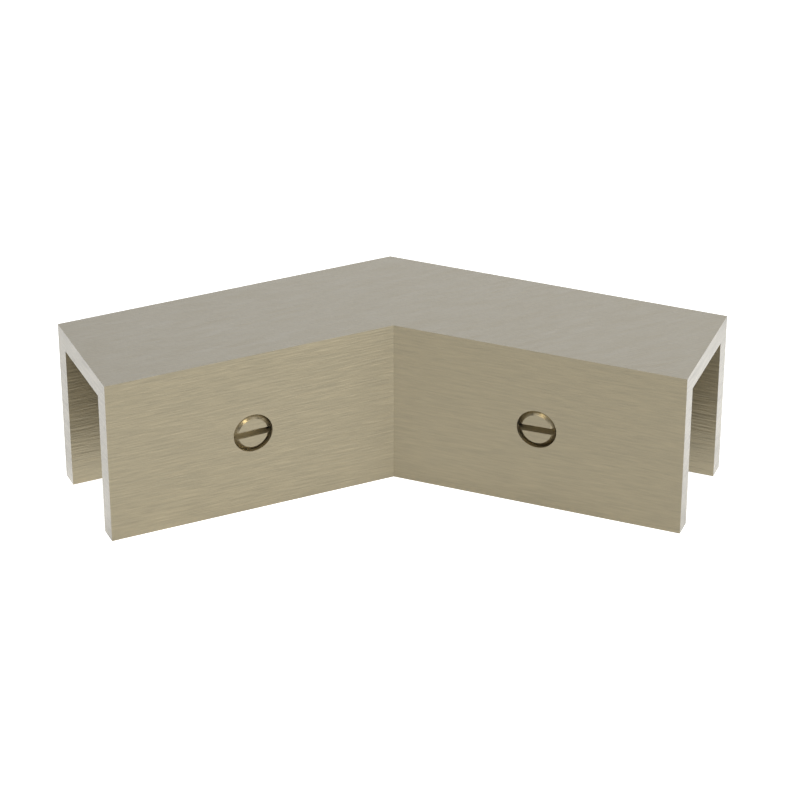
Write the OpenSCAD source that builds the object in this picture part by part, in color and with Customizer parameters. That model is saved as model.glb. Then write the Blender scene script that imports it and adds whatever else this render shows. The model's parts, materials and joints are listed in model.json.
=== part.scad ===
// Corner clamp for two glass panels. One bent U channel drops over the top edges of the glass,
// and a slotted set screw in the front wall of each arm presses a soft swivelling tip on the pane.
// Z is up and the ends of the legs lie at z = 0. The bend points back (+Y), and both arms lean
// forward (-Y) from it. The origin is the middle of the plan's bounding box.

/* [Channel] */
// Angle between the two glass panels, seen from above
corner_angle = 135; // [100:1:170]
// Length of each arm along its front edge, from the bend to its square end
arm_len = 44; // [30:0.5:80]
// Clear width of the channel, between the front and the back wall
gap = 14; // [12:0.5:20]
// Clear depth of the channel, from the ends of the legs to the top plate
depth = 22.4; // [16:0.2:40]
// Thickness of the front and the back wall
wall = 3; // [2.5:0.1:5]
// Thickness of the top plate
top_t = 3; // [2:0.1:6]

/* [Set screws] */
// Outer diameter of the thread
thread_d = 6; // [5:0.5:8]
// Running clearance round the thread, on the radius
thread_gap = 0.05; // [0.02:0.01:0.1]
// Width of the 45 degree chamfer on both ends of the screw
screw_chamfer = 0.7; // [0.4:0.1:1]
// Width of the screwdriver slot
slot_w = 1; // [0.6:0.1:1.6]
// Depth of the screwdriver slot
slot_depth = 2; // [1:0.1:2.4]
// Turn of the slot from level, anticlockwise as seen from the screwdriver
slot_turn = 1.2; // [-90:0.1:90]

/* [Screw tips] */
// How far the tip stands into the channel when its screw is flush with the wall
tip_reach = 3; // [2.5:0.1:6]
// Diameter of the pad that bears on the glass
pad_d = 4.4; // [3.4:0.1:5]
// Thickness of the pad
pad_t = 1; // [0.6:0.1:1.5]
// Width of the bevel round the pad's bearing face
pad_bevel = 0.25; // [0.1:0.05:0.4]
// Diameter of the stem that turns in the screw's end bore
stem_d = 2.4; // [1.8:0.1:3]
// Length of the stem
stem_len = 1.7; // [1.5:0.1:2.2]
// Height of the snap bead that keeps the stem in its bore, and half of the bead's width
bead_h = 0.15; // [0.1:0.05:0.25]
// How far the end of the stem tapers in, to lead it into the bore
stem_lead = 0.3; // [0.1:0.05:0.5]
// Running clearance between tip and screw, all round the stem and under the pad
tip_gap = 0.05; // [0.02:0.01:0.1]

/* [Hidden] */
$fn = 96;

left = -1;
right = 1;
eps = 1; // how far a cutter runs past the face that it opens

height = depth + top_t;
width = gap + 2 * wall;
lean = (180 - corner_angle) / 2; // each arm's lean from the X axis
mitre = tan(lean); // shift of the mitre along an arm, for each mm across it
arm_mid = arm_len + width / 2 * mitre; // an arm's length along its centre line

back_y = width / 2 / cos(lean); // back corner of the bend, from the bend's centre
front_y = -arm_mid * sin(lean) - width / 2 * cos(lean); // front corners of the two ends
bend_y = -(back_y + front_y) / 2; // the bend's centre, from the middle of the plan

screw_x = arm_len / 2 + width / 2 * mitre; // half way along the front edge
screw_z = height / 2; // half way up the wall
screw_r = thread_d / 2 - thread_gap;
screw_len = wall + tip_reach - pad_t - tip_gap;
stem_r = stem_d / 2;
bead_z = stem_len / 2; // start of the snap bead along the stem

nickel = [0.66, 0.63, 0.53];
screw_nickel = [0.63, 0.60, 0.50];
nylon = [0.90, 0.89, 0.85];

// A strip with two equal arms, mitred at the bend and cut square at its ends.
module bent_strip(w, reach) {
    side = w / 2;
    tip_x = reach * cos(lean);
    tip_y = reach * sin(lean);
    dx = side * sin(lean);
    dy = side * cos(lean);
    polygon([
        [0, side / cos(lean)],
        [-tip_x - dx, dy - tip_y],
        [-tip_x + dx, -dy - tip_y],
        [0, -side / cos(lean)],
        [tip_x - dx, -dy - tip_y],
        [tip_x + dx, dy - tip_y],
    ]);
}

// Puts a screw's own frame on an arm: its z = 0 is the wall's outer face and +Z points outwards.
module at_screw(arm) {
    translate([0, bend_y, 0])
        rotate([0, 0, -arm * lean])
            translate([arm * screw_x, -width / 2, screw_z])
                rotate([90, 0, 0])
                    children();
}

module clamp_body() {
    color(nickel)
        difference() {
            translate([0, bend_y, 0])
                linear_extrude(height)
                    bent_strip(width, arm_mid);
            translate([0, bend_y, -eps])
                linear_extrude(depth + eps)
                    bent_strip(gap, arm_mid + eps);
            for (arm = [left, right])
                at_screw(arm) screw_hole();
        }
}

// Tapped hole through the front wall, at the thread's outer diameter.
module screw_hole() {
    translate([0, 0, -wall - eps])
        cylinder(h = wall + 2 * eps, d = thread_d);
}

// Half section of the stem from the pad outwards, grown by a clearance for its bore.
function stem_section(clearance) = [
    [stem_r + clearance, bead_z],
    [stem_r + bead_h + clearance, bead_z + bead_h],
    [stem_r + bead_h + clearance, bead_z + 2 * bead_h],
    [stem_r - stem_lead + clearance, stem_len + clearance],
    [0, stem_len + clearance],
];

// Slotted metal screw, drawn from its inner end up to the slotted face at z = 0.
module set_screw() {
    flat_r = screw_r - screw_chamfer;
    color(screw_nickel)
        difference() {
            rotate_extrude()
                polygon([
                    [0, -screw_len],
                    [flat_r, -screw_len],
                    [screw_r, -screw_len + screw_chamfer],
                    [screw_r, -screw_chamfer],
                    [flat_r, 0],
                    [0, 0],
                ]);
            rotate([0, 0, slot_turn])
                translate([-thread_d, -slot_w / 2, -slot_depth])
                    cube([2 * thread_d, slot_w, slot_depth + eps]);
            translate([0, 0, -screw_len])
                rotate_extrude()
                    polygon(concat(
                        [[0, -eps], [stem_r + tip_gap, -eps]],
                        stem_section(tip_gap)
                    ));
        }
}

// Soft tip, with its pad just clear of the screw's inner end and its stem in the end bore.
module screw_tip() {
    pad_r = pad_d / 2;
    color(nylon)
        translate([0, 0, -screw_len])
            rotate_extrude()
                polygon(concat(
                    [
                        [0, -tip_gap - pad_t],
                        [pad_r - pad_bevel, -tip_gap - pad_t],
                        [pad_r, -tip_gap - pad_t + pad_bevel],
                        [pad_r, -tip_gap],
                        [stem_r, -tip_gap],
                    ],
                    stem_section(0)
                ));
}

module left_set_screw() {
    at_screw(left) set_screw();
}

module right_set_screw() {
    at_screw(right) set_screw();
}

module left_screw_tip() {
    at_screw(left) screw_tip();
}

module right_screw_tip() {
    at_screw(right) screw_tip();
}

clamp_body();
left_set_screw();
right_set_screw();
left_screw_tip();
right_screw_tip();
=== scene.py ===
"""Corner clamp for two glass panels, in brushed nickel, with slotted set screws and nylon tips.

The clamp's channel and the tips are the frame's own nodes with new finishes. Each set screw is
modelled here with its thread, slot and end bore, and stands for the frame's plain one. All sizes
are metres.
"""
import json
from math import cos, pi, radians, sin

import bpy
from mathutils import Matrix, Vector


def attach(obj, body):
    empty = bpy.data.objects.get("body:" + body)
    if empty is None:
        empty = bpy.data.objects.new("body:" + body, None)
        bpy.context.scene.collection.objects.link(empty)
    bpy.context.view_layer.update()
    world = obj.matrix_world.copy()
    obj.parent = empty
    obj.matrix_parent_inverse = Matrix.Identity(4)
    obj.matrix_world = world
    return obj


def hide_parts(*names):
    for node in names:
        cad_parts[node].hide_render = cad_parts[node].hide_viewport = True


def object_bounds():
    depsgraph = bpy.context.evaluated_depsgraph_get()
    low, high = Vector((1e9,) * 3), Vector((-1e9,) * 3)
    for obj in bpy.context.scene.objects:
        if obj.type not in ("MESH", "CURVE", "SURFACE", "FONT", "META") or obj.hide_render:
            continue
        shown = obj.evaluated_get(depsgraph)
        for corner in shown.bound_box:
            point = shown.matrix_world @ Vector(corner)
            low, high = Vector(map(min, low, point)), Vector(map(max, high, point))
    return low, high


MM = 0.001
NEAR = 0.01 * MM  # how near two places count as the same

# View of the clamp
VIEW_AZIMUTH = radians(-1.436)
VIEW_ELEVATION = radians(29.86)
VIEW_DISTANCE = 490.84 * MM
VIEW_TARGET = Vector((1.20, 8.42, 6.80)) * MM
LENS = 147.80  # focal length and film width in millimetres
FILM = 36.0
NEAR_CLIP = 10 * MM

# Thread, slot and end bore of a set screw
PITCH = 1.0 * MM
THREAD_ROOT_RADIUS = 2.24 * MM
THREAD_TOOTH = 0.54 * MM  # from the middle of the cutting tooth to its corners
THREAD_START = radians(1.7)  # keeps the corners of the thread and of the bar apart
THREAD_END = 1.25 * MM  # from the slotted face to the middle of the last tooth
CHAMFER = 0.7 * MM
SLOT_WIDTH = 1.0 * MM
SLOT_DEPTH = 2.0 * MM
SLOT_TURN = radians(1.2)
BORE_RADIUS = 1.25 * MM
BORE_SHAPE = (  # distance from the screw's inner end and radius, with room for the tip's snap bead
    (0.85 * MM, BORE_RADIUS),
    (1.00 * MM, 1.40 * MM),
    (1.15 * MM, 1.40 * MM),
    (1.75 * MM, 0.95 * MM),
)
ROUND_STEPS = 96
SMOOTH_ANGLE = radians(20)  # sharper edges than this stay crisp

# Brushed streaks: noise drawn out along the brush and squeezed across it
STREAK_LENGTH = 4.5 * MM
STREAK_WIDTH = 0.25 * MM
FLAT_STREAK_WIDTH = 0.20 * MM
STREAK_DETAIL = 3.5
NOISE_ROUGHNESS = 0.65
TOP_GRAIN_TURN = radians(22.5)  # the whole top is brushed along the left arm
SWAY = 0.35 * MM  # how far the streaks of upright faces wander
SWAY_RATE = 70  # how often they do, in waves a metre
FACING_LIMIT = 0.7  # how squarely a face looks up or sideways to count as flat or as an end

# How the streaks show
STREAK_DEPTH = 0.50
STREAK_TINT = (1.08, 0.98, 0.85)  # light streaks are a little warmer
FLAT_SHADE = -0.45  # share of that depth on flat faces, where light and dark change places
END_SHADE = 2.8  # and on the arms' sawn ends
END_PAINTED_LIGHT_TINT = (1.0, 1.045, 1.2)  # painted light: the ends' base is made paler and bluer, standing in for the whiter light they reflect at a slant; their streaks have no colour
STREAK_ROUGHNESS = 0.2  # how much rougher or smoother a streak is than its neighbours
RELIEF = 0.24 * MM  # height of the scratches on upright faces
RELIEF_WIDTH = 0.32 * MM
RELIEF_DETAIL = 1
RELIEF_STRENGTH = 0.25

# Clear lacquer, which shows on faces seen at a slant
GLOSS_LEVEL = 1.0
GLOSS_DEPTH = 1.6  # how unevenly it lies along the streaks
COAT_IOR = 3.5
COAT_ROUGHNESS = 0.2
COAT_STARTS = 0.2  # turn from the eye where it starts to show, from 0 facing to 1 edge-on
COAT_FULL = 0.65

# Fine marks on turned and sawn metal and on nylon
MARK_SIZE = 0.3 * MM
MARK_DETAIL = 2
MARK_DEPTH = 0.5
MARK_ROUGHNESS = 0.3
MARK_RELIEF = 0.02 * MM
MARK_STRENGTH = 0.5

# Colour and roughness of each finish
NICKEL = (0.42, 0.374, 0.268, 1.0)
TURNED_NICKEL = (0.41, 0.352, 0.235, 1.0)
# partly painted light: the slot's nickel is paler than the body's, lifting the shade that falls in
# the narrow slot
SLOT_NICKEL_PAINTED_LIGHTER = (0.59, 0.53, 0.39, 1.0)
NYLON = (0.78, 0.76, 0.70, 1.0)
BRUSHED_ROUGHNESS = 0.45
TURNED_ROUGHNESS = 0.34
SLOT_ROUGHNESS = 0.5
NYLON_ROUGHNESS = 0.45
NYLON_MILKINESS = 0.1  # share of the light that goes into it

# Studio lamps: azimuth from the front towards the right and elevation, both in degrees, then
# width in metres, radiance and colour
LAMP_DISTANCE = 1.3
WHITE = (1.0, 1.0, 1.0)
OPAQUE_WHITE = (*WHITE, 1.0)
WARM = (1.0, 0.88, 0.62)
PALE = (1.0, 0.99, 0.96)
SOFTBOXES = (
    ("key", -9, 45, 0.37, 6.0, WARM),
    ("front", 0, 20, 0.8, 1.2, WHITE),
    ("right low", 50, 14, 0.6, 1.1, WHITE),
    ("right mid", 68, 5, 0.5, 15.5, WHITE),
    ("right high", 62, 50, 0.6, 0.97, WHITE),
    ("left low", -50, 14, 0.6, 0.25, WHITE),
    ("left high", -54, 54, 0.6, 1.0, WHITE),
    ("back", 174, 30, 0.72, 0.69, PALE),
    ("back left", -144, 30, 0.7, 0.6, WHITE),
    ("back right", 140, 30, 0.7, 0.6, WHITE),
    ("left side", -114, 26, 0.7, 0.55, WHITE),
    ("left flank", -84, 18, 0.6, 0.5, WHITE),
    ("right side", 110, 26, 0.7, 0.55, WHITE),
    ("overhead", 0, 88, 0.8, 3.9, WHITE),
)
AMBIENT = 0.10

# Light table: its even glow, and soft patches with x, y and radius in millimetres and strength
FLOOR_SIZE = 12  # metres
FLOOR_GAP = 0.02 * MM
FLOOR_GREY = (0.6, 0.6, 0.6, 1)
FLOOR_LEVEL = 0.29
FLOOR_PATCHES = (
    ("left end", -66, 12, 42, 0.13),
    ("right end", 66, 12, 42, 0.24),
    ("under left", -39.5, -5.5, 16, 0.62),
    ("under right", 39.5, -5.5, 16, 0.31),
)


# ---------------------------------------------------------------- shaping helpers

def deselect_all():
    bpy.ops.object.select_all(action="DESELECT")


def make_active(piece):
    deselect_all()
    piece.select_set(True)
    bpy.context.view_layer.objects.active = piece


def finish_modifier(piece, modifier):
    make_active(piece)
    bpy.ops.object.modifier_apply(modifier=modifier.name)


def cut(piece, cutter):
    """Cuts a piece with a tool piece, which is then thrown away."""
    boolean = piece.modifiers.new("cut", "BOOLEAN")
    boolean.operation = "DIFFERENCE"
    boolean.solver = "EXACT"
    boolean.object = cutter
    finish_modifier(piece, boolean)
    bpy.data.objects.remove(cutter)


def settle(piece, place):
    """Moves a piece, modelled round the world's Z axis, to its place and resets its own frame."""
    piece.matrix_world = place @ piece.matrix_world
    make_active(piece)
    bpy.ops.object.transform_apply(location=True, rotation=True, scale=True)


# ---------------------------------------------------------------- set screws

def chamfered_bar(radius, length):
    """Round bar from z = -length to 0, with both ends chamfered."""
    bpy.ops.mesh.primitive_cylinder_add(
        vertices=ROUND_STEPS, radius=radius, depth=length, location=(0, 0, -length / 2)
    )
    bar = bpy.context.object
    bpy.ops.object.transform_apply(location=True)
    bpy.ops.object.mode_set(mode="EDIT")
    bpy.ops.mesh.select_mode(type="EDGE")
    bpy.ops.mesh.select_all(action="DESELECT")
    bpy.ops.object.mode_set(mode="OBJECT")
    for edge in bar.data.edges:
        ends = [bar.data.vertices[i].co.z for i in edge.vertices]
        edge.select = abs(ends[0] - ends[1]) < NEAR
    bpy.ops.object.mode_set(mode="EDIT")
    bpy.ops.mesh.bevel(offset=CHAMFER, offset_type="OFFSET", segments=1, affect="EDGES")
    bpy.ops.object.mode_set(mode="OBJECT")
    return bar


def close_ends(coil):
    """Fills a coil's two open ends and turns all its faces outwards."""
    make_active(coil)
    bpy.ops.object.mode_set(mode="EDIT")
    bpy.ops.mesh.select_all(action="DESELECT")
    bpy.ops.mesh.select_mode(type="EDGE")
    bpy.ops.mesh.select_non_manifold()
    bpy.ops.mesh.fill_holes(sides=3)
    bpy.ops.mesh.select_all(action="SELECT")
    bpy.ops.mesh.normals_make_consistent(inside=False)
    bpy.ops.object.mode_set(mode="OBJECT")


def thread_cutter(length):
    """Closed helical V that ends under the front chamfer and runs out past the inner end."""
    turns = int((length - THREAD_END) / PITCH) + 2  # at least one past the inner end
    bpy.ops.mesh.primitive_circle_add(
        vertices=3,
        radius=THREAD_TOOTH,
        location=(THREAD_ROOT_RADIUS + THREAD_TOOTH, 0, -THREAD_END - turns * PITCH),
        rotation=(pi / 2, -pi / 2, 0),
    )
    tooth = bpy.context.object
    bpy.ops.object.transform_apply(location=True, rotation=True)
    tooth.rotation_euler.z = THREAD_START
    bpy.ops.object.transform_apply(rotation=True)
    screw = tooth.modifiers.new("thread", "SCREW")
    screw.axis = "Z"
    screw.angle = 2 * pi
    screw.screw_offset = PITCH
    screw.iterations = turns
    screw.steps = screw.render_steps = ROUND_STEPS // 2
    screw.use_smooth_shade = False
    finish_modifier(tooth, screw)
    close_ends(tooth)
    return tooth


def slot_cutter(radius):
    """Bar across the front, half of it inside the screw."""
    bpy.ops.mesh.primitive_cube_add(
        size=1,
        location=(0, 0, 0),
        rotation=(0, 0, SLOT_TURN),
        scale=(3 * radius, SLOT_WIDTH, 2 * SLOT_DEPTH),
    )
    return bpy.context.object


def bore_cutter(length):
    """Bar for the end bore, swollen where the tip's snap bead sits and tapered at its end."""
    depth = BORE_SHAPE[-1][0]
    bpy.ops.mesh.primitive_cylinder_add(
        vertices=ROUND_STEPS // 2,
        radius=BORE_RADIUS,
        depth=depth + MM,
        location=(0, 0, (depth - MM) / 2 - length),
    )
    bar = bpy.context.object
    bpy.ops.object.transform_apply(location=True)
    bpy.ops.object.mode_set(mode="EDIT")
    for distance, _ in BORE_SHAPE[:-1]:
        bpy.ops.mesh.select_all(action="SELECT")
        bpy.ops.mesh.bisect(plane_co=(0, 0, distance - length), plane_no=(0, 0, 1))
    bpy.ops.mesh.select_mode(type="VERT")
    for distance, radius in BORE_SHAPE:
        bpy.ops.mesh.select_all(action="DESELECT")
        bpy.ops.object.mode_set(mode="OBJECT")
        for vertex in bar.data.vertices:
            vertex.select = abs(vertex.co.z - distance + length) < NEAR
        bpy.ops.object.mode_set(mode="EDIT")
        swell = radius / BORE_RADIUS
        bpy.ops.transform.resize(value=(swell, swell, 1), center_override=(0, 0, 0))
    bpy.ops.object.mode_set(mode="OBJECT")
    return bar


def span_along(node, line):
    """Lowest and highest reach of a frame node along a unit vector."""
    reach = [vertex.co.dot(line) for vertex in frame["nodes"][node].data.vertices]
    return min(reach), max(reach)


def screw_frame(side):
    """A screw's place, radius and length. Its +Z points out of the wall, its +X along the arm."""
    node = side + "_set_screw"
    turn = next(j for j in frame["joints"] if j["name"] == side + "_screw_turn")
    outward = -Vector(turn["axis"]).normalized()
    up = Vector((0, 0, 1))
    along = up.cross(outward)
    deepest, outermost = span_along(node, outward)
    lowest, highest = span_along(node, up)
    leftmost, rightmost = span_along(node, along)
    face = outward * outermost + up * (lowest + highest) / 2 + along * (leftmost + rightmost) / 2
    facing = Matrix((along, up, outward)).transposed().to_4x4()
    return Matrix.Translation(face) @ facing, (highest - lowest) / 2, outermost - deepest


def mark_faces(screw):
    """Gives the flat front the first finish, the slot the third, and all the rest the second."""
    for face in screw.data.polygons:
        x, y, z = face.center
        across = y * cos(SLOT_TURN) - x * sin(SLOT_TURN)
        in_slot = abs(across) < SLOT_WIDTH / 2 + NEAR and z > -SLOT_DEPTH - NEAR
        on_front = z > -NEAR
        face.material_index = 0 if on_front else 2 if in_slot else 1


def threaded_screw(radius, length):
    """Set screw modelled round Z, its slotted end at z = 0."""
    screw = chamfered_bar(radius, length)
    cut(screw, thread_cutter(length))
    cut(screw, slot_cutter(radius))
    cut(screw, bore_cutter(length))
    make_active(screw)
    bpy.ops.object.shade_smooth_by_angle(angle=SMOOTH_ANGLE)
    return screw


def place_screw(pattern, side, place):
    """Puts a copy of the modelled screw in an arm."""
    screw = pattern.copy()
    screw.data = pattern.data.copy()
    bpy.context.scene.collection.objects.link(screw)
    settle(screw, place)
    screw.name = side + "_threaded_screw"
    screw.data.name = screw.name
    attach(screw, side + "_screw")
    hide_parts(side + "_set_screw")


def set_screws(*finishes):
    """Both set screws, with the finishes of their front, their turned faces and their slot."""
    left_place, radius, length = screw_frame("left")
    right_place = screw_frame("right")[0]
    pattern = threaded_screw(radius, length)
    for finish in finishes:
        pattern.data.materials.append(finish)
    mark_faces(pattern)
    place_screw(pattern, "left", left_place)
    place_screw(pattern, "right", right_place)
    bpy.data.objects.remove(pattern)


# ---------------------------------------------------------------- shader helpers

def add_node(tree, kind, label, **settings):
    node = tree.nodes.new(kind)
    node.label = label
    for name, value in settings.items():
        setattr(node, name, value)
    return node


def feed(tree, socket, value):
    """Links another node's output to a socket, or sets the socket to a plain value."""
    if isinstance(value, bpy.types.NodeSocket):
        tree.links.new(value, socket)
    else:
        socket.default_value = value


def math_node(tree, operation, first, second=0.0, label=""):
    node = add_node(tree, "ShaderNodeMath", label, operation=operation)
    feed(tree, node.inputs[0], first)
    feed(tree, node.inputs[1], second)
    return node.outputs[0]


def vector_node(tree, operation, *values, label=""):
    node = add_node(tree, "ShaderNodeVectorMath", label, operation=operation)
    for socket, value in zip(node.inputs, values):
        feed(tree, socket, value)
    return node.outputs[0]


def mixed_numbers(tree, share, first, second, label):
    mix = add_node(tree, "ShaderNodeMix", label, data_type="FLOAT")
    feed(tree, mix.inputs[0], share)
    feed(tree, mix.inputs[2], first)
    feed(tree, mix.inputs[3], second)
    return mix.outputs[0]


def mixed_colours(tree, share, first, second, label, blend_type="MIX"):
    mix = add_node(tree, "ShaderNodeMix", label, data_type="RGBA", blend_type=blend_type)
    feed(tree, mix.inputs[0], share)
    feed(tree, mix.inputs[6], first)
    feed(tree, mix.inputs[7], second)
    return mix.outputs[2]


def varied(tree, level, centred, depth, label):
    """A level that centred noise raises and lowers."""
    return math_node(tree, "ADD", math_node(tree, "MULTIPLY", centred, depth), level, label)


def mapped_noise(tree, vector, scale, turn, label, detail=STREAK_DETAIL):
    """Noise with its own scale along each axis, in waves a metre, after a turn about Z."""
    mapping = add_node(tree, "ShaderNodeMapping", label + " turn")
    mapping.inputs["Rotation"].default_value = (0, 0, -turn)
    tree.links.new(vector, mapping.inputs["Vector"])
    noise = add_node(tree, "ShaderNodeTexNoise", label, noise_dimensions="3D")
    noise.inputs["Scale"].default_value = 1.0
    noise.inputs["Detail"].default_value = detail
    noise.inputs["Roughness"].default_value = NOISE_ROUGHNESS
    stretched = vector_node(tree, "MULTIPLY", mapping.outputs[0], scale, label=label + " stretch")
    tree.links.new(stretched, noise.inputs["Vector"])
    return noise.outputs["Fac"]


def new_group(name, inputs, outputs):
    """Node group that takes numbers, and gives numbers and, where it is named, a shade."""
    group = bpy.data.node_groups.new(name, "ShaderNodeTree")
    for socket in inputs:
        group.interface.new_socket(socket, in_out="INPUT", socket_type="NodeSocketFloat")
    for socket in outputs:
        kind = "NodeSocketColor" if socket == "Shade" else "NodeSocketFloat"
        group.interface.new_socket(socket, in_out="OUTPUT", socket_type=kind)
    given = add_node(group, "NodeGroupInput", "given")
    result = add_node(group, "NodeGroupOutput", "result")
    return group, given.outputs, result.inputs


# ---------------------------------------------------------------- finishes

def faces_along(group, normal, axis, label):
    """1 where a face looks either way along an axis, and 0 elsewhere."""
    share = math_node(group, "ABSOLUTE", normal.outputs[axis])
    return math_node(group, "GREATER_THAN", share, FACING_LIMIT, label)


def swayed_place(group, place):
    """Places moved a little by slow noise, so that streaks drawn on them wander."""
    rate = (SWAY_RATE, SWAY_RATE, SWAY_RATE)
    drift = mapped_noise(group, place, rate, 0, "drift", detail=0)
    sway = math_node(group, "MULTIPLY", math_node(group, "SUBTRACT", drift, 0.5), SWAY, "sway")
    return vector_node(group, "ADD", place, sway, label="swayed")


def streak_shade(group, centred, depth, is_flat, is_end):
    """Lighter and darker streaks round white, and round painted light on the ends, as deep as each
    face shows them.
    """
    on_flat = math_node(group, "MULTIPLY", is_flat, FLAT_SHADE - 1)
    on_end = math_node(group, "MULTIPLY", is_end, END_SHADE - 1)
    share = math_node(group, "ADD", math_node(group, "ADD", on_flat, on_end), 1.0, "share")
    strength = math_node(group, "MULTIPLY", centred, math_node(group, "MULTIPLY", share, depth))
    warmth = mixed_colours(group, is_end, (*STREAK_TINT, 1), OPAQUE_WHITE, "warmth")
    # painted light: the ends' base is tinted paler and bluer than the nickel, standing in for the
    # light they reflect
    level = mixed_colours(group, is_end, OPAQUE_WHITE, (*END_PAINTED_LIGHT_TINT, 1), "painted light on ends")
    return vector_node(group, "MULTIPLY_ADD", strength, warmth, level, label="shade")


def brushed_grain():
    """Brushed streaks: level on every upright face, and along the left arm on every flat one."""
    group, given, result = new_group(
        "brushed grain",
        ("Depth", "Gloss Depth", "Roughness"),
        ("Shade", "Gloss", "Roughness", "Height"),
    )
    place = add_node(group, "ShaderNodeTexCoord", "place")
    normal = add_node(group, "ShaderNodeSeparateXYZ", "normal")
    group.links.new(place.outputs["Normal"], normal.inputs[0])
    is_flat = faces_along(group, normal, "Z", "is flat")
    is_end = faces_along(group, normal, "X", "is an end")
    along = 1 / STREAK_LENGTH
    upright_scale = (along, along, 1 / STREAK_WIDTH)
    relief_scale = (along, along, 1 / RELIEF_WIDTH)
    flat_scale = (along, 1 / FLAT_STREAK_WIDTH, along)
    swayed = swayed_place(group, place.outputs["Object"])
    upright = mapped_noise(group, swayed, upright_scale, 0, "upright streaks")
    relief = mapped_noise(group, swayed, relief_scale, 0, "relief", detail=RELIEF_DETAIL)
    flat = mapped_noise(
        group, place.outputs["Object"], flat_scale, TOP_GRAIN_TURN, "flat streaks"
    )
    streaks = mixed_numbers(group, is_flat, upright, flat, "streaks")
    centred = math_node(group, "SUBTRACT", streaks, 0.5)
    shade = streak_shade(group, centred, given["Depth"], is_flat, is_end)
    gloss = varied(group, GLOSS_LEVEL, centred, given["Gloss Depth"], "gloss")
    roughness = varied(group, given["Roughness"], centred, STREAK_ROUGHNESS, "roughness")
    is_upright = math_node(group, "SUBTRACT", 1.0, is_flat)
    height = math_node(group, "MULTIPLY", relief, is_upright, "height")
    group.links.new(shade, result["Shade"])
    group.links.new(gloss, result["Gloss"])
    group.links.new(roughness, result["Roughness"])
    group.links.new(height, result["Height"])
    return group


def fine_marks():
    """Faint mottle and tool marks, alike in every direction."""
    group, given, result = new_group(
        "fine marks", ("Roughness",), ("Shade", "Roughness", "Height")
    )
    place = add_node(group, "ShaderNodeTexCoord", "place")
    fineness = (1 / MARK_SIZE, 1 / MARK_SIZE, 1 / MARK_SIZE)
    mottle = mapped_noise(
        group, place.outputs["Object"], fineness, 0, "mottle", detail=MARK_DETAIL
    )
    centred = math_node(group, "SUBTRACT", mottle, 0.5)
    shade = varied(group, 1.0, centred, MARK_DEPTH, "shade")
    roughness = varied(group, given["Roughness"], centred, MARK_ROUGHNESS, "roughness")
    group.links.new(shade, result["Shade"])
    group.links.new(roughness, result["Roughness"])
    group.links.new(mottle, result["Height"])
    return group


def new_material(name):
    material = bpy.data.materials.new(name)
    material.use_nodes = True
    tree = material.node_tree
    return material, tree, tree.nodes["Principled BSDF"]


def grained_material(name, pattern, colour, roughness, relief, relief_strength):
    """Material with the shade, roughness and height that a pattern group gives."""
    material, tree, shader = new_material(name)
    grain = add_node(tree, "ShaderNodeGroup", "grain", node_tree=pattern)
    grain.inputs["Roughness"].default_value = roughness
    tint = mixed_colours(tree, 1.0, colour, grain.outputs["Shade"], "tint", blend_type="MULTIPLY")
    bump = add_node(tree, "ShaderNodeBump", "scratches")
    bump.inputs["Strength"].default_value = relief_strength
    bump.inputs["Distance"].default_value = relief
    tree.links.new(grain.outputs["Height"], bump.inputs["Height"])
    tree.links.new(tint, shader.inputs["Base Color"])
    tree.links.new(grain.outputs["Roughness"], shader.inputs["Roughness"])
    tree.links.new(bump.outputs[0], shader.inputs["Normal"])
    return material, grain, shader


def edge_on_lacquer(tree, gloss, shader):
    """Clear lacquer that shines on faces seen at a slant, a little unevenly along the streaks."""
    slant = add_node(tree, "ShaderNodeLayerWeight", "slant")
    slant.inputs["Blend"].default_value = 0.5
    shown = add_node(tree, "ShaderNodeMapRange", "shown", interpolation_type="SMOOTHSTEP")
    shown.inputs["From Min"].default_value = COAT_STARTS
    shown.inputs["From Max"].default_value = COAT_FULL
    tree.links.new(slant.outputs["Facing"], shown.inputs["Value"])
    weight = math_node(tree, "MULTIPLY", shown.outputs[0], gloss, "lacquer")
    held = math_node(tree, "MINIMUM", weight, 1.0, "never over one")
    tree.links.new(held, shader.inputs["Coat Weight"])
    shader.inputs["Coat IOR"].default_value = COAT_IOR
    shader.inputs["Coat Roughness"].default_value = COAT_ROUGHNESS


def brushed_nickel(name, streaks):
    material, grain, shader = grained_material(
        name, streaks, NICKEL, BRUSHED_ROUGHNESS, RELIEF, RELIEF_STRENGTH
    )
    grain.inputs["Depth"].default_value = STREAK_DEPTH
    grain.inputs["Gloss Depth"].default_value = GLOSS_DEPTH
    shader.inputs["Metallic"].default_value = 1.0
    edge_on_lacquer(material.node_tree, grain.outputs["Gloss"], shader)
    return material


def plain_nickel(name, marks, colour, roughness):
    """Metal as the tool left it, on the screws' chamfers, threads and slots; the slots' colour is
    painted lighter.
    """
    material, _, shader = grained_material(
        name, marks, colour, roughness, MARK_RELIEF, MARK_STRENGTH
    )
    shader.inputs["Metallic"].default_value = 1.0
    return material


def nylon(marks):
    material, _, shader = grained_material(
        "natural nylon", marks, NYLON, NYLON_ROUGHNESS, MARK_RELIEF, MARK_STRENGTH
    )
    shader.inputs["Subsurface Weight"].default_value = NYLON_MILKINESS
    return material


# ---------------------------------------------------------------- studio

def direction(turn, rise):
    """Unit vector from angles in radians: turn from the front towards the right, and rise up."""
    return Vector((sin(turn) * cos(rise), -cos(turn) * cos(rise), sin(rise)))


def aim_at_clamp(thing, name, out, distance):
    """Puts a camera or a lamp out from the middle of the view, turned to look back at it."""
    placed = bpy.data.objects.new(name, thing)
    placed.location = VIEW_TARGET + distance * out
    placed.rotation_euler = (-out).to_track_quat("-Z", "Y").to_euler()
    bpy.context.scene.collection.objects.link(placed)
    return placed


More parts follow.
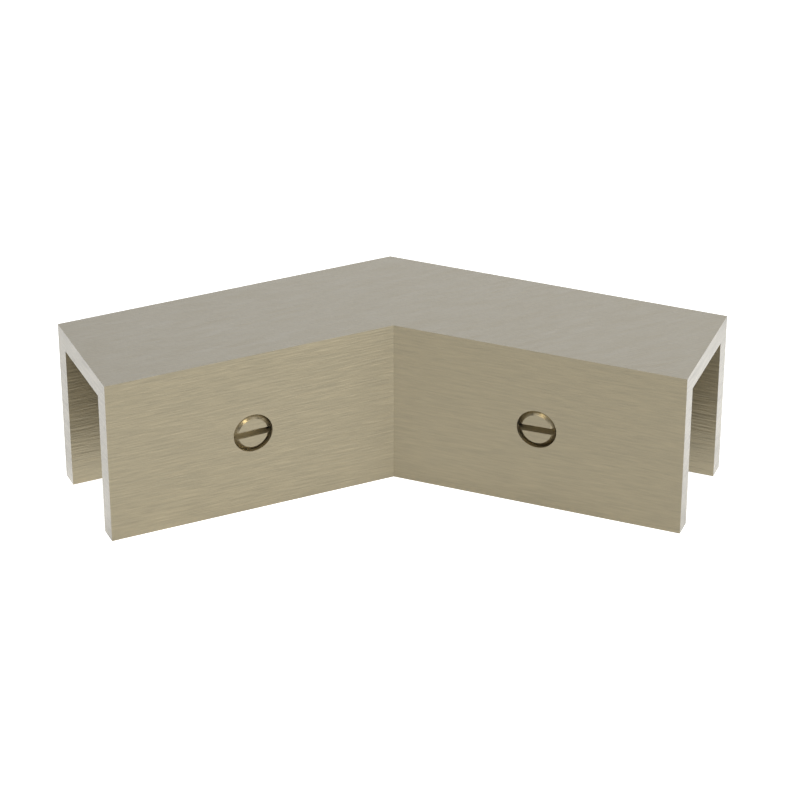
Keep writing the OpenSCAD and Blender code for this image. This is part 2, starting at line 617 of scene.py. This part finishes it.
def add_camera():
    camera = bpy.data.cameras.new("camera")
    camera.lens = LENS
    camera.sensor_width = FILM
    camera.clip_start = NEAR_CLIP
    out = direction(VIEW_AZIMUTH, VIEW_ELEVATION)
    bpy.context.scene.camera = aim_at_clamp(camera, "camera", out, VIEW_DISTANCE)


def softbox(name, azimuth, elevation, size, radiance, colour):
    """Square lamp of a given radiance that faces the clamp."""
    lamp = bpy.data.lights.new(name, "AREA")
    lamp.shape = "SQUARE"
    lamp.size = size
    lamp.color = colour
    lamp.energy = radiance * pi * size * size
    aim_at_clamp(lamp, name, direction(radians(azimuth), radians(elevation)), LAMP_DISTANCE)


def glow_patch(tree, place, name, x, y, radius, strength):
    """Soft round patch of light in the floor."""
    reach = add_node(tree, "ShaderNodeVectorMath", name + " reach", operation="DISTANCE")
    reach.inputs[1].default_value = (x * MM, y * MM, 0)
    tree.links.new(place.outputs["Object"], reach.inputs[0])
    away = math_node(tree, "DIVIDE", reach.outputs["Value"], radius * MM)
    fall = math_node(tree, "SUBTRACT", 1.0, math_node(tree, "MULTIPLY", away, away))
    inside = math_node(tree, "MAXIMUM", fall, 0.0)
    glow = math_node(tree, "MULTIPLY", inside, inside)
    return math_node(tree, "MULTIPLY", glow, strength, name + " glow")


def white_to_the_eye(tree, cast):
    """Full strength where the camera looks, and another strength for the light that is cast."""
    seen = add_node(tree, "ShaderNodeLightPath", "seen")
    return mixed_numbers(tree, seen.outputs["Is Camera Ray"], cast, 1.0, "seen or cast")


def floor_glow(tree):
    """Strength of the light table: an even glow with soft patches."""
    place = add_node(tree, "ShaderNodeTexCoord", "place")
    total = FLOOR_LEVEL
    for patch in FLOOR_PATCHES:
        total = math_node(tree, "ADD", total, glow_patch(tree, place, *patch))
    return total


def clear_from_below(tree, shader):
    """Lets the eye look up through the table at the clamp's open underside."""
    below = add_node(tree, "ShaderNodeNewGeometry", "side")
    clear = add_node(tree, "ShaderNodeBsdfTransparent", "clear")
    chosen = add_node(tree, "ShaderNodeMixShader", "chosen side")
    tree.links.new(below.outputs["Backfacing"], chosen.inputs[0])
    tree.links.new(shader.outputs[0], chosen.inputs[1])
    tree.links.new(clear.outputs[0], chosen.inputs[2])
    tree.links.new(chosen.outputs[0], tree.nodes["Material Output"].inputs["Surface"])


def add_floor():
    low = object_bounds()[0][2]
    bpy.ops.mesh.primitive_plane_add(size=FLOOR_SIZE, location=(0, 0, low - FLOOR_GAP))
    floor = bpy.context.object
    floor.name = "floor"
    material, tree, shader = new_material("pale floor")
    shader.inputs["Base Color"].default_value = FLOOR_GREY
    shader.inputs["Roughness"].default_value = 1.0
    shader.inputs["Specular IOR Level"].default_value = 0.0
    shader.inputs["Emission Color"].default_value = OPAQUE_WHITE
    strength = white_to_the_eye(tree, floor_glow(tree))
    tree.links.new(strength, shader.inputs["Emission Strength"])
    clear_from_below(tree, shader)
    floor.data.materials.append(material)


def add_world():
    world = bpy.data.worlds.new("studio")
    bpy.context.scene.world = world
    world.use_nodes = True
    tree = world.node_tree
    sky = tree.nodes["Background"]
    sky.inputs["Color"].default_value = OPAQUE_WHITE
    tree.links.new(white_to_the_eye(tree, AMBIENT), sky.inputs["Strength"])


def assign(piece, material):
    piece.data.materials.clear()
    piece.data.materials.append(material)


# ---------------------------------------------------------------- making

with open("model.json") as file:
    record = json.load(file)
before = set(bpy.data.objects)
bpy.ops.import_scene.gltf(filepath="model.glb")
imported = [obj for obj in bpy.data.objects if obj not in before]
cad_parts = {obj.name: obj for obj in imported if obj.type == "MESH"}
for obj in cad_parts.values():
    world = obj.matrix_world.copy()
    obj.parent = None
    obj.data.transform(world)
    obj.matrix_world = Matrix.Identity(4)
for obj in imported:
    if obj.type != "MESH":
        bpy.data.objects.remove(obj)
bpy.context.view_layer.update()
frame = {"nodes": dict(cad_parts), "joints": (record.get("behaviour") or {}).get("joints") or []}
deselect_all()

add_camera()
add_world()
add_floor()
for lamp in SOFTBOXES:
    softbox(*lamp)

grain_pattern = brushed_grain()
mark_pattern = fine_marks()
body_finish = brushed_nickel("brushed nickel", grain_pattern)
front_finish = brushed_nickel("screw face nickel", grain_pattern)
turned_finish = plain_nickel("turned nickel", mark_pattern, TURNED_NICKEL, TURNED_ROUGHNESS)
# the slot's nickel is painted lighter than the body's, to lift the slot's shade
painted_light_slot_finish = plain_nickel("sawn nickel painted lighter", mark_pattern, SLOT_NICKEL_PAINTED_LIGHTER, SLOT_ROUGHNESS)
tip_finish = nylon(mark_pattern)
assign(frame["nodes"]["clamp_body"], body_finish)
set_screws(front_finish, turned_finish, painted_light_slot_finish)
for tip in ("left_screw_tip", "right_screw_tip"):
    assign(frame["nodes"][tip], tip_finish)

bpy.context.scene.view_settings.view_transform = "Standard"
